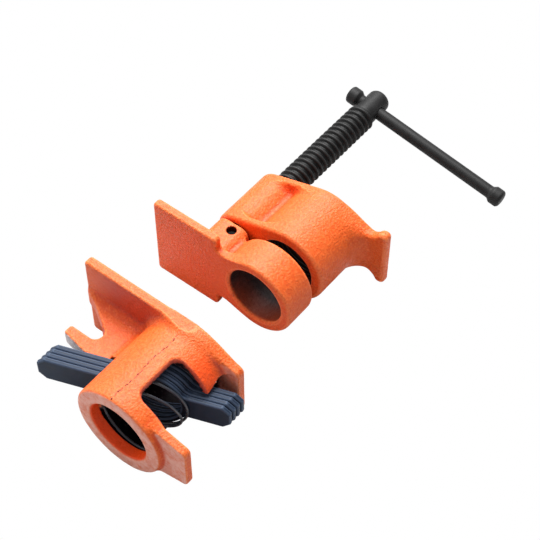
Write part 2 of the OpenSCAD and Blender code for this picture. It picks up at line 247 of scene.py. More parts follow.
def add_casting(name, f, lo, hi, cell, shift, body, stands_for, skin=None):
    """A piece from a distance function, moved along X by shift, with its roundness and the layers
    that skin(points, normals) gives: where the paint is missing or worn by rubbing, and where light and
    shade are painted."""
    points, faces, normals = surface_net(f, lo, hi, cell)
    layers = {"edge": shade(roundness(f, points))}
    layers.update(skin(points, normals) if skin else {})
    return add_piece(name, points + [shift, 0, 0], faces, body, stands_for, normals, layers)


# %% [markdown]
# ## The head casting
# It screws on the pipe's end with its large boss, and its small boss is the nut of the screw. Two
# walls close the space between them at the front and the back, so a pocket is left on either side.
# A fishtail foot lets the clamp stand on a bench.

# %% Head
SCREW_Y = 27.0
HEAD_LEN = 32.0
HEAD_BORE = 13.3
PIPE_BOSS, SCREW_BOSS = 19.0, 10.8
SCREW_BORE = 6.76


def two_bosses(y, z, r0=PIPE_BOSS, r1=SCREW_BOSS):
    """Distance to two circles with a belt round them: to the end circles, or to the belt's side."""
    b = (r0 - r1) / SCREW_Y
    a = math.sqrt(1 - b * b)
    z = np.abs(z)
    along = a * y - b * z
    side = a * z + b * y - r0
    ends = np.where(along < 0, disc(y, z, r0), disc(y, z, r1, SCREW_Y))
    return np.where((along < 0) | (along > a * SCREW_Y), ends, side)


def fishtail(y, z):
    """The foot's outline: a block less two circles at its waist."""
    z = np.abs(z)
    block = rect(y, z, (-32.0, -17.0), (30.0, 15.5), 2.2)
    bite = np.minimum(disc(y, z, 8.06, -20.4, 18.76), np.maximum(-20.4 - y, 10.7 - z))
    return cut(block, bite, 1.5)


def head(x, y, z):
    """The smaller of the distances to both bosses, the web, the two walls and the foot, each joined with
    a fillet; then the larger of that and each bore turned inside out, which cuts the bores."""
    whole = slab(x, 0, HEAD_LEN)
    pipe_boss = round_and(disc(y, z, PIPE_BOSS), whole, 2.2)
    screw_boss = round_and(disc(y, z, SCREW_BOSS, SCREW_Y), whole, 2.0)
    belt = two_bosses(y, z)
    walls = np.minimum(round_and(belt, slab(x, 0, 3.6), 1.5),
                       round_and(belt, slab(x, 28.4, HEAD_LEN), 1.5))
    web = np.maximum(rect(y, z, (0, -6.0), (27.0, 6.0), 1.0), slab(x, 1, 31))
    foot = round_and(fishtail(y, z), slab(x, 27.2, HEAD_LEN), 1.8)
    foot = np.maximum(foot, y + 10)
    body = round_or(pipe_boss, screw_boss, 3.0)
    body = round_or(body, web, 3.5)
    body = np.maximum(round_or(body, walls, 3.0), round_and(belt, whole, 1.8))
    body = round_or(body, foot, 8.0)
    body = np.maximum(body, whole) + lumps(x, y, z)
    body = cut(body, disc(y, z, HEAD_BORE), 0.7)
    mouth = disc(y, z, SCREW_BORE, SCREW_Y) - np.clip(x - 31.0, 0, 2) - np.clip(0.8 - x, 0, 2)
    return cut(body, mouth, 0.4)


def soft_step(value, width):
    """0 below zero, 1 above the width, and a straight slope between."""
    return np.clip(value / width, 0, 1)


def bare_bores_with_painted_shade(*bores):
    """Dark metal inside round bores along X: 1 within reach of a bore's wall, else 0; its dark colour is
    partly a painted shade. Near the mouth the low side is lifted towards the orange paint as a painted
    light."""
    def skin(p, n):
        found = [soft_step(r + 0.45 - np.hypot(p[:, 1] - y0, p[:, 2]), 0.3) for y0, r in bores]
        # Painted light: near the mouth the low side is lifted towards the orange paint.
        painted_low_light = 0.35 * soft_step(-p[:, 2] - 1, 9) * soft_step(12 - p[:, 0], 11)
        return {"bare": np.max(found, axis=0) * soft_step(p[:, 0] - 0.7, 1.4) * (1 - painted_low_light)}
    return skin


head_piece = add_casting("head_body", head, (0, -32, -19), (HEAD_LEN, 38, 19), 0.55, 0.0, "head",
                         ["head_casting"],
                         bare_bores_with_painted_shade((0, HEAD_BORE), (SCREW_Y, SCREW_BORE)))

# %% [markdown]
# ## The sliding jaw
# A plate presses the work, a ring slides on the pipe, and a boss takes the tip of the screw. Plate
# and ring share one flat front. A saddle fills the corner between ring and boss.

# %% Sliding jaw
JAW_X = JAW_FACE
JAW_BORE = 13.785
RING_LEN = 16.5
PIN_X, PIN_Y, PIN_HOLE = 16.8, 25.5, 2.23


def sliding_jaw(x, y, z):
    """The smaller of the distances to the ring, saddle, boss and plate, joined with fillets and kept
    behind one flat front; less the pipe's bore, the screw's hole and the pin's hole."""
    plate = rect(y, z, (20.3, -21.5), (54.5, 21.5), 1.8)
    plate = round_or(plate, rect(y, z, (-2.0, -14.6), (24.0, 14.6), 1.0), 2.0)
    plate = round_and(plate, slab(x, 0, 4), 1.1)
    ring = round_and(disc(y, z, 18.9), slab(x, 0, RING_LEN), 1.6)
    boss = round_and(rect(y, z, (18.8, -9.3), (35.2, 9.3), 4.6), slab(x, 0, 21), 1.3)
    saddle = np.maximum(rect(y, z, (0, -5.9), (27.0, 5.9), 1.0), slab(x, 0.5, RING_LEN))
    body = round_or(ring, saddle, 3.0)
    body = round_or(body, boss, 3.2)
    body = round_or(body, plate, 3.0)
    body = np.maximum(body, -x) + lumps(x + 40, y, z)
    chamfer = np.clip(0.9 - x, 0, 2)
    body = cut(body, disc(y, z, JAW_BORE) - chamfer, 0.5)
    tip = np.maximum(disc(y, z, 5.06, SCREW_Y), 5.5 - x)
    body = cut(body, tip, 0.4)
    return cut(body, np.maximum(disc(x, y, PIN_HOLE, PIN_X, PIN_Y), -z), 0.35)


def jaw_skin(p, n):
    """The bore, and the cross hole of the pin, which gets a painted black shade inside."""
    away = np.hypot(p[:, 0] - PIN_X, p[:, 1] - PIN_Y)
    # Painted black shade inside the pin's hole.
    hole = soft_step(2.5 - away, 0.3) * soft_step(p[:, 2] - 1.0, 1.0)
    return {"soot": hole, **bare_bores_with_painted_shade((0, JAW_BORE))(p, n)}


jaw_piece = add_casting("sliding_jaw_body", sliding_jaw, (0, -18.9, -21.5), (21, 54.5, 21.5), 0.5,
                        JAW_X, "jaw", ["movable_jaw"], jaw_skin)

# %% [markdown]
# ## The tail stop
# The neck is a barrel with a wall of a few millimetres. One side is open for the clutch plates, and
# their long arms leave through the other side, past the finger that they lean on.

# %% Tail stop
TAIL_X = -107.0
TAIL_LEN, TAIL_HALF, TAIL_REACH = 47.5, 22.5, 55.0
NECK, CAVITY, TAIL_BORE = 21.5, 18.1, 14.185
FLANGE, PLATE_BACK = 5.4, 43.0
WINDOW_X = (8.6, 31.5)
NOSE = (18.246, 32.0)
SLOT = (29.17, 37.8)
SLOT_SIDE = (32.24, 35.93)
WEB_END = (43.0, 53.4)


def tail_plate(y, z):
    """The jaw plate's outline, drawn in towards its near end."""
    z = np.abs(z)
    wide = rect(y, z, (-26.0, -30.0), (TAIL_REACH, TAIL_HALF), 1.8)
    return round_and(wide, -beside(y, z, (0.0, TAIL_HALF), (-26.0, 13.0)), 2.0)


def tail_foot(y, z):
    """The flange's foot: a block with leaning flanks."""
    z = np.abs(z)
    flank = -beside(y, z, (-18.5, 13.96), (-32.5, 10.8))
    return round_and(np.maximum(np.maximum(flank, z - 14.66), y + 8), -32.5 - y, 2.0)


def finger(x, y):
    """Outline in X and Y: two leaning front faces that meet at the nose, less a slot. The slot has a
    round bottom, a straight side to the finger and a slanted side along the web."""
    front = np.maximum(beside(x, y, (24.0, 18.1), NOSE), beside(x, y, NOSE, (21.07, 48.0)))
    solid = round_and(front, np.maximum(np.maximum(14.0 - y, x - 46.0), y - 53.4), 0.5)
    sides = round_and(25.57 - x, -beside(x, y, SLOT_SIDE, WEB_END), 0.6)
    slot = np.minimum(np.maximum(sides, SLOT[1] - y), disc(x, y, 3.6, *SLOT))
    over_tip = np.maximum(48.0 - y, x - 25.6)
    return cut(cut(solid, slot, 1.0), over_tip, 1.2)


def tail(x, y, z):
    """The smaller of the distances to the neck, jaw plate, foot and finger, joined with fillets and
    trimmed flat all round; less the cavity, the window, both ways for the arms and the bore."""
    whole = slab(x, 0, TAIL_LEN)
    neck = round_and(disc(y, z, NECK), whole, 1.6)
    plate = round_and(tail_plate(y, z), slab(x, PLATE_BACK, TAIL_LEN), 1.2)
    foot = round_and(tail_foot(y, z), slab(x, 3.2, 7.2), 1.0)
    web = round_and(finger(x, y), slab(z, -3.8, 3.8), 1.0)
    body = round_or(neck, plate, 4.5)
    body = round_or(body, foot, 2.2)
    body = round_or(body, web, 4.0)
    body = np.maximum(body, whole)
    body = np.maximum(body, np.maximum(slab(z, 0.05 - TAIL_HALF, TAIL_HALF - 0.05), y - TAIL_REACH))
    body = body + lumps(x + 90, y, z + 7)
    body = cut(body, round_and(disc(y, z, CAVITY), slab(x, FLANGE, PLATE_BACK), 0.8), 0.5)
    first, last = WINDOW_X
    body = cut(body, rect(x, y, (first, -40.0), (last, -4.6), 4.0), 1.3)
    way = np.abs(z) - 7.4 - 3.1 * np.clip((x - last) / 11.5, 0, 1)
    body = cut(body, np.maximum(np.maximum(way, slab(x, first, PLATE_BACK)), slab(y, -40, -1)), 0.8)
    body = cut(body, np.maximum(rect(x, z, (FLANGE, -8.4), (24.0, 8.4), 1.2), slab(y, 0, 24)), 0.8)
    return cut(body, disc(y, z, TAIL_BORE) - np.clip(0.9 - x, 0, 2), 0.5)


def tail_skin(p, n):
    """Ground: the finger's front faces, above and below the nose. Unpainted: the inside of the neck,
    which the paint doesn't reach, up to a ragged line in the window's rim, and the bore through the jaw
    plate;
    its dark colour is partly a painted shade, and further in it gets a painted black shade.
    Rub: the back of the flange and its foot, which slide over benches; the same pale colour on the back
    of the jaw plate's near side is a painted light. Painted light: a brighter orange in the flange's
    bore and down the neck's near side. Painted shade: a darker maroon on the back of the jaw plate's
    far side and on the window's rim, which is where the surface doesn't face away from the axis."""
    x, y, z = p.T
    ground = soft_step(25.0 - x, 0.5) * soft_step(y - 24, 0.5) * soft_step(-n[:, 0] - 0.75, 0.15)
    radius = np.hypot(y, z)
    ragged = 0.25 * (np.sin(2.9 * x + z) + np.sin(1.7 * z - 1.1 * x + y) + np.sin(4.3 * x - 2.2 * z))
    # Unpainted iron inside the neck; the dark colour that this mask gives in the material is partly a
    # painted shade.
    bare = soft_step(19.8 + ragged - radius, 0.3) * soft_step(x - 5.2, 0.4) * soft_step(43.6 - x, 0.3)
    bare *= 1 - soft_step(-y - 14, 3) * soft_step(x - 42.2, 0.4)
    plate_bore = soft_step(x - 42.6, 0.4) * soft_step(46.9 - x, 0.5)
    bare = np.maximum(bare, soft_step(14.9 - radius, 0.4) * plate_bore)
    back = soft_step(-n[:, 0] - 0.7, 0.2)
    # Rub on the back of the flange and its foot; the last term, on the back of the jaw plate's near
    # side, is a painted light.
    rubbed = back * (soft_step(0.5 - x, 0.3) + soft_step(4 - x, 0.5) * (y < -15)
                     + 0.6 * (x > 41) * (y < -6))
    # Painted light: a brighter orange in the flange's bore here, and with flank down the neck's near
    # side.
    deep = soft_step(14.9 - radius, 0.4) * soft_step(5.4 - x, 0.3)
    flank = 0.7 * soft_step(-y - 7, 6) * soft_step(x - 27, 4) * soft_step(42 - x, 4) * (radius > 19.5)
    # Painted shade: the back of the jaw plate's far side here, and with rim the window's rim.
    thin = 0.75 * back * soft_step(x - 41.5, 0.5) * soft_step(y - 12, 8) * soft_step(52 - y, 14)
    outward = (n[:, 1] * y + n[:, 2] * z) / radius
    rim = 0.8 * soft_step(0.96 - outward, 0.2)
    rim = rim * soft_step(x - 7.5, 0.5) * soft_step(42 - x, 0.5) * (y < 2)
    # Painted black shade further into the neck.
    soot = bare * soft_step(19.2 + ragged - radius, 0.6)
    return {"bare": bare, "ground": ground, "rubbed": np.clip(rubbed, 0, 1), "soot": soot,
            "deep": np.maximum(deep, flank), "thin": np.maximum(thin, rim)}


tail_piece = add_casting("tail_body", tail, (0, -32.5, -TAIL_HALF), (TAIL_LEN, TAIL_REACH, TAIL_HALF),
                         0.55, TAIL_X, "tail", ["tail_casting"], tail_skin)

# %% [markdown]
# ## The parting line
# Two halves of a sand mould never close quite tightly. A thin crooked fin is left where they met, and
# it is knocked off only roughly. Here a low ridge runs along the neck's top, broken in places.

# %% Parting line
def tube(path, radius, sides):
    """A round tube along a path: at each point a ring of the given radius, square to the path. The
    ring's directions are the path's slope crossed with Z, and that crossed with the slope again."""
    slope = np.gradient(path, axis=0)
    slope /= np.linalg.norm(slope, axis=1)[:, None]
    across = np.cross(slope, [0.0, 0.0, 1.0])
    across /= np.linalg.norm(across, axis=1)[:, None]
    rise = np.cross(across, slope)
    angle = np.linspace(0, 2 * math.pi, sides, endpoint=False)
    radius = np.broadcast_to(radius, len(path))
    cosine, sine = np.cos(angle)[None, :, None], np.sin(angle)[None, :, None]
    ring = cosine * across[:, None] + sine * rise[:, None]
    points = (path[:, None] + radius[:, None, None] * ring).reshape(-1, 3)
    return points, band_faces(len(path), sides)


def band_faces(rows, around):
    """Faces of a grid that closes round itself: place j in row i joins its neighbours, and each end
    is one many-sided face."""
    i, j = np.meshgrid(np.arange(rows - 1), np.arange(around), indexing="ij")
    a, b = i * around + j, i * around + (j + 1) % around
    quads = np.stack([a, b, b + around, a + around], axis=-1).reshape(-1, 4)
    first = np.arange(around)[::-1]
    last = np.arange(around) + (rows - 1) * around
    return [*map(tuple, quads.tolist()), tuple(first.tolist()), tuple(last.tolist())]


def parting_line():
    """Path: X runs along the neck, Y sways in two sines, Z lies on the neck's round; the tube's radius
    is a product of two sines, so the ridge swells and nearly vanishes in turn."""
    x = np.linspace(0.8, 42.0, 120)
    y = 1.2 + 0.35 * np.sin(x * 0.33) + 0.18 * np.sin(x * 1.7)
    reach = NECK - 0.12 + 0.05 * np.sin(x * 2.3)
    path = np.stack([x + TAIL_X, y, np.sqrt(reach ** 2 - y ** 2)], axis=1)
    radius = 0.21 + 0.16 * np.sin(x * 0.9) * np.sin(x * 2.1) + 0.06 * np.sin(x * 5.3)
    radius = np.maximum(radius, 0.02)
    points, faces = tube(path, radius, 8)
    # The ridge's colour: its edge value gives the hollows' painted shade, and the unpainted-iron value
    # gives mostly dark iron that is partly painted shade.
    return add_piece("parting_line", points, faces, "tail",
                     layers={"edge": np.full(len(points), 0.3), "bare": np.full(len(points), 0.75)})


parting_piece = parting_line()

# %% [markdown]
# ## Turned pieces
# The screw's shank, the handle and the pin come from a lathe: a profile of radius against length,
# swept round an axis. The thread only makes the radius depend on the angle as well.

# %% Lathe
def lathe(along, radius, around, place):
    """Grid of points at radius from the axis: along gives the length at each row, radius is a row by
    row value or a row by angle table, and place turns (length, cos part, sin part) into X, Y and Z."""
    angle = np.linspace(0, 2 * math.pi, around, endpoint=False)
    radius = np.broadcast_to(radius if np.ndim(radius) == 2 else radius[:, None], (len(along), around))
    points = place(along[:, None] + 0 * radius, radius * np.cos(angle), radius * np.sin(angle))
    return np.stack(points, axis=-1).reshape(-1, 3), band_faces(len(along), around)


def profile(*stops, step=0.25):
    """Lengths and radii along a chain of straight stops, with a row at every step and every stop."""
    s = np.array(stops, float)
    along = [s[:1, 0]]
    radius = [s[:1, 1]]
    for (a, ra), (b, rb) in zip(s[:-1], s[1:]):
        n = max(1, int(math.ceil(math.hypot(b - a, rb - ra) / step)))
        t = np.arange(1, n + 1) / n
        along.append(a + (b - a) * t)
        radius.append(ra + (rb - ra) * t)
    return np.concatenate(along), np.concatenate(radius)


# %% Screw shank
PITCH = 3.175
THREAD_R, THREAD_DEPTH = 6.68, 1.15


def screw_shank():
    """Radius falls by the thread's depth times a soft square wave of place along X plus the turn."""
    along, radius = profile((-16.0, 0.01), (-16.0, 4.0), (-15.0, 5.0), (-7.2, 5.0), (-7.2, 3.3),
                            (-2.6, 3.3), (-2.6, 5.0), (-0.8, 5.0), (-0.8, 5.6), (0.2, THREAD_R),
                            (91.2, THREAD_R), (92.2, 5.52), (92.2, 0.01), step=0.2)
    around = 64
    angle = np.linspace(0, 2 * math.pi, around, endpoint=False)
    phase = 2 * math.pi * along[:, None] / PITCH - angle[None, :]
    wave = 0.5 - 0.5 * np.tanh(1.9 * np.sin(phase) - 0.35) / math.tanh(1.9)
    fade = np.clip((along - 0.2) / 1.5, 0, 1) * np.clip((91.5 - along) / 2.0, 0, 1)
    depth = THREAD_DEPTH * fade[:, None] * wave
    points, faces = lathe(along, np.maximum(radius[:, None] - depth, 0.01), around,
                          lambda l, c, s: (l, SCREW_Y + c, s))
    # The crest value lights the crests and darkens the valleys in the material: a painted highlight,
    # with some rub wear, and a painted shade.
    crest = np.clip(0.5 + 0.5 * fade[:, None] * (1 - 2.0 * wave), 0, 1)
    return add_piece("screw_shank", points, faces, "screw",
                     layers={"edge": crest.reshape(-1)})


shank_piece = screw_shank()

# %% Screw head with its cross hole
BAR_X, BAR_TURN = 99.35, math.radians(10)
SHOULDER_X, SCREW_END, SCREW_HEAD_R = 90.8, 107.6, 5.5
BAR_LEN, BAR_TIP = 88.0, 12.72


def along_bar(y, z):
    """Length along the handle's axis and height above it, for a point beside the screw."""
    y = y - SCREW_Y
    c, s = math.cos(BAR_TURN), math.sin(BAR_TURN)
    return y * c + z * s, z * c - y * s


def screw_head(x, y, z):
    """A round bar with a rounded end, less the round hole that lies along the handle's axis."""
    body = round_and(disc(y, z, SCREW_HEAD_R, SCREW_Y), slab(x, SHOULDER_X, SCREW_END), 2.8)
    _, height = along_bar(y, z)
    return cut(body, disc(x, height, 3.15, BAR_X), 0.55)


head_end = add_casting("screw_head", screw_head, (SHOULDER_X, SCREW_Y - SCREW_HEAD_R, -SCREW_HEAD_R),
                       (SCREW_END, SCREW_Y + SCREW_HEAD_R, SCREW_HEAD_R), 0.3, 0.0, "screw",
                       ["clamp_screw"])

# %% Handle
def handle():
    """Bar with upset ends: the ends were heated and struck, so they bulge and flow into the bar."""
    knob = [(0.0, 0.01), (0.0, 2.0), *[(1.6 - 1.6 * math.cos(a), 2.0 + 2.2 * math.sin(a))
            for a in np.linspace(0.2, math.pi / 2, 8)], (4.6, 4.2),
            *[(4.6 + 2.2 * t, 4.2 - 1.2 * (3 * t * t - 2 * t ** 3)) for t in np.linspace(0.1, 1, 10)]]
    far = [(BAR_LEN - a, r) for a, r in reversed(knob)]
    along, radius = profile(*knob, *far, step=0.5)
    sides = 40

    def place(l, c, s):
        """Length along the bar and the two parts across it, as X, Y and Z of the turned bar."""
        reach = BAR_TIP - l
        return (BAR_X + c, SCREW_Y + reach * math.cos(BAR_TURN) - s * math.sin(BAR_TURN),
                reach * math.sin(BAR_TURN) + s * math.cos(BAR_TURN))

    points, faces = lathe(along, radius, sides, place)
    rim = np.repeat(0.5 + 0.2 * np.clip((radius - 3.6) * 1.2, 0, 1), sides)
    return add_piece("handle_bar", points, faces, "handle", ["sliding_handle"],
                     layers={"edge": rim})


handle_piece = handle()

# %% Retaining pin
def pin():
    """A short rod with rounded ends and a hollow in the outer one, upright in the boss."""
    along, radius = profile((3.5, 0.01), (3.5, 1.9), (3.8, 2.2), (6.2, 2.2), (6.5, 1.9), (6.1, 1.0),
                            (5.4, 0.01), step=0.3)
    points, faces = lathe(along, radius, 32, lambda l, c, s: (JAW_X + PIN_X + c, PIN_Y + s, l))
    return add_piece("pin", points, faces, "jaw", ["retaining_pin"],
                     layers={"edge": np.full(len(points), 0.5)})


pin_piece = pin()

# %% [markdown]
# ## Clutch plates
# Each plate is stamped from spring steel and hardened blue-black. The punch rolls the edges over a
# little on the side where it enters. All four are one form, tilted on the pipe's axis.

# %% Plates
TILT = math.radians(20.5)
PLATE_X, PLATE_Y, PLATE_STEP = 20.6, 1.986, 2.53
HALF_THICK, PLATE_HOLE = 1.15, 14.035
ARM_NEAR, ARM_FAR, ARM_HALF = -35.0, 47.5, 6.5


def plate_form(x, y, z):
    """In the plate's own frame: a disc and two arms with cut corners, less the pipe's hole."""
    az = np.abs(z)
    arms = rect(y, az, (ARM_NEAR, -20), (ARM_FAR, ARM_HALF), 0.3)
    arms = round_and(arms, -beside(y, az, (ARM_FAR, 3.1), (44.1, ARM_HALF)), 0.3)
    arms = round_and(arms, beside(y, az, (ARM_NEAR, 3.1), (-31.6, ARM_HALF)), 0.3)
    outline = round_or(disc(y, z, 16.6), arms, 2.0)
    outline = cut(outline, disc(y, z, PLATE_HOLE), 0.05)
    return round_and(outline, slab(x, -HALF_THICK, HALF_THICK), 0.8)


plate_points, plate_faces, plate_normals = surface_net(
    plate_form, (-HALF_THICK, ARM_NEAR, -16.6), (HALF_THICK, ARM_FAR, 16.6), 0.38)
plate_edge = shade(roundness(plate_form, plate_points, 0.4))
# Painted shade: near black over the plates' middles round the hole, fading out by 17.5 mm from the axis.
plate_cavity_shade = soft_step(17.5 - np.hypot(plate_points[:, 1], plate_points[:, 2]), 2.5)
lean = np.array([[math.cos(TILT), math.sin(TILT), 0], [-math.sin(TILT), math.cos(TILT), 0], [0, 0, 1]])
plates = []
for n in range(4):
    place = [TAIL_X + PLATE_X + PLATE_STEP * n, PLATE_Y, 0.0]
    plates.append(add_piece(f"plate_{n + 1}_steel", plate_points @ lean + place, plate_faces,
                            f"plate_{n + 1}", [f"clutch_plate_{n + 1}"],
                            plate_normals @ lean, {"edge": plate_edge, "painted_cavity_shade": plate_cavity_shade}))

# %% [markdown]
# ## Clutch spring
# A coil round the pipe pushes the plates back to their tilt. Its seat on the first plate leans, so the
# coils lie closer on one side. Both ends are closed: their turns nearly touch and lie flat. When the
# plates are set free the coil is pressed flat.

# %% Spring
CLOSED_PITCH = 1.35
COIL_R, WIRE_R, COIL_TURNS = 15.0, 0.6, 2.5
COIL_START = FLANGE + WIRE_R + 0.05
SEAT_GAP = 1.228 + WIRE_R + 0.15
WIRE_SIDES = 14


def spring():
    """Path: the angle grows evenly with the turns. X climbs 1.35 mm a turn from the flange, and 1.35 mm
    a turn to the plate's leaning face at the end, with a soft step from the one to the other between."""
    turns = np.linspace(0, COIL_TURNS, 261)
    angle = math.radians(90) + 2 * math.pi * turns
    y, z = COIL_R * np.cos(angle), COIL_R * np.sin(angle)
    seat = PLATE_X - SEAT_GAP - (y - PLATE_Y) * math.tan(TILT)
    share = np.clip(turns - 0.5, 0, 1)
    share = share * share * (3 - 2 * share)
    first = COIL_START + CLOSED_PITCH * turns
    last = seat - CLOSED_PITCH * (COIL_TURNS - turns)
    x = (1 - share) * first + share * last
    path = np.stack([TAIL_X + x, y, z], axis=1)
    out = np.stack([0 * angle, np.cos(angle), np.sin(angle)], axis=1)
    turn = np.linspace(0, 2 * math.pi, WIRE_SIDES, endpoint=False)
    cosine, sine = np.cos(turn)[None, :, None], np.sin(turn)[None, :, None]
    ring = cosine * out[:, None] + sine * np.array([1.0, 0, 0])
    points = (path[:, None] + WIRE_R * ring).reshape(-1, 3)
    piece = add_piece("spring_wire", points, [f[::-1] for f in band_faces(len(path), WIRE_SIDES)],
                      "tail", ["clutch_spring"],
                      layers={"edge": np.full(len(points), 0.5)})
    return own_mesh(piece)


spring_piece = spring()

# %% [markdown]
# ## The pipe thread in the head
# Fourteen turns to the inch, cut into the casting after it was painted. The crests lie on the bore of
# the solid. The sleeve's outside is hidden in the casting's wall.

# %% Pipe thread
PIPE_PITCH = 1.814
THREAD_ENDS = (0.4, 31.6)


def pipe_thread():
    """Inside radius is the crest radius plus the depth times a triangle wave of X and the turn."""
    x = np.linspace(*THREAD_ENDS, 420)
    around = 96
    angle = np.linspace(0, 2 * math.pi, around, endpoint=False)
    phase = (x[:, None] / PIPE_PITCH - angle[None, :] / (2 * math.pi)) % 1.0
    wave = np.clip(np.abs(phase * 2 - 1) * 1.25, 0.08, 1.0)
    ends = np.clip(np.minimum(x - THREAD_ENDS[0], THREAD_ENDS[1] - x) / 1.2, 0, 1)[:, None]
    inner = 13.25 - 1.0 * ends * (1.08 - wave)
    rows = np.concatenate([x, x[::-1]])
    outer = np.full((len(x), around), 13.9)
    table = np.concatenate([np.minimum(np.maximum(inner, 12.25), 13.35), outer])
    points, faces = lathe(rows, table, around, lambda l, c, s: (l, c, s))
    faces = faces[:-2]
    a = np.arange(around)
    b = (a + 1) % around
    last = (len(rows) - 1) * around
    faces += np.stack([last + a, last + b, b, a], axis=1).tolist()
    edge = np.concatenate([1.0 - 0.6 * wave, np.zeros_like(wave)]).reshape(-1)
    return add_piece("pipe_thread", points, [f[::-1] for f in faces], "head",
                     layers={"edge": edge})


thread_piece = pipe_thread()

# %% [markdown]
# ## Materials
# A helper keeps the node trees short: it makes a node, sets plain values on it, and links the rest.

# %% Node helper
def node(tree, kind, links=None, **values):
    """A node with its settings and socket values, and its inputs linked from other nodes' outputs."""
    made = tree.nodes.new(kind)
    for key, value in values.items():
        if hasattr(made, key):
            setattr(made, key, value)
        else:
            made.inputs[key.replace("_", " ")].default_value = value
    for key, source in (links or {}).items():
        tree.links.new(source, made.inputs[key])
    return made


def start(name):
    """An empty node material, its tree, and the place on the object in metres."""
    material = bpy.data.materials.new(name)
    material.use_nodes = True
    tree = material.node_tree
    tree.nodes.clear()
    place = node(tree, "ShaderNodeTexCoord").outputs["Object"]
    return material, tree, place


def ramp(tree, source, *stops):
    """Colour by value: each stop is a value and its colour, straight between them."""
    made = node(tree, "ShaderNodeValToRGB", {"Fac": source})
    made.color_ramp.elements.remove(made.color_ramp.elements[1])
    for n, (at, colour) in enumerate(stops):
        spot = made.color_ramp.elements[0] if n == 0 else made.color_ramp.elements.new(at)
        spot.position = at
        spot.color = (*colour, 1.0) if len(colour) == 3 else colour
    return made.outputs["Color"]


def noise(tree, place, millimetres, detail=3.0, rough=0.55, out="Fac"):
    """Noise whose blobs are about so many millimetres across."""
    return node(tree, "ShaderNodeTexNoise", {"Vector": place}, Scale=1000.0 / millimetres, Detail=detail,
                Roughness=rough).outputs[out]


def mix(tree, factor, a, b, blend="MIX"):
    """Colours a and b mixed by a factor, each either a colour or a socket."""
    made = node(tree, "ShaderNodeMix", data_type="RGBA", blend_type=blend)
    for socket, value in ((made.inputs[0], factor), (made.inputs[6], a), (made.inputs[7], b)):
        if isinstance(value, (int, float)):
            socket.default_value = value
        elif isinstance(value, tuple):
            socket.default_value = (*value, 1.0)
        else:
            tree.links.new(value, socket)
    return made.outputs[2]


def finish_surface(tree, colour, roughness, bump, shine=0.3, **values):
    """The shader and the output. Bumps are (height socket, distance in mm, strength), stacked."""
    links = {"Base Color": colour}
    for key, value in (("Roughness", roughness), ("Specular IOR Level", shine)):
        if isinstance(value, float):
            values[key] = value
        else:
            links[key] = value
    normal = None
    for height, depth, strength in bump:
        inputs = {"Height": height}
        if normal is not None:
            inputs["Normal"] = normal
        bumped = node(tree, "ShaderNodeBump", inputs, Strength=strength, Distance=depth * MM)
        normal = bumped.outputs["Normal"]
    if normal is not None:
        links["Normal"] = normal
    shader = node(tree, "ShaderNodeBsdfPrincipled", links)
    for key, value in values.items():
        shader.inputs[key.replace("_", " ")].default_value = value
    node(tree, "ShaderNodeOutputMaterial", {"Surface": shader.outputs[0]})


# %% [markdown]
# ### Orange enamel
# Thick spray paint on rough iron, which thins on edges. Hollows get a painted shade. Its skin has a
# fine grain like orange peel, with a painted shade in its low spots and a painted highlight on its
# high spots. Point layers on the meshes say where it differs: unpainted iron in the bores and the neck,
# darkened as a painted shade, with a painted black shade further in; ground metal on the finger,
# lightened as a painted reflection; rub-worn paint on the back of the flange, and the same pale colour
# as a painted light on the back of the jaw plate's near side; a painted light of brighter orange in
# the flange's bore and down the neck's near side; and a painted shade of darker maroon on the back of
# the jaw plate's far side and on the window's rim.

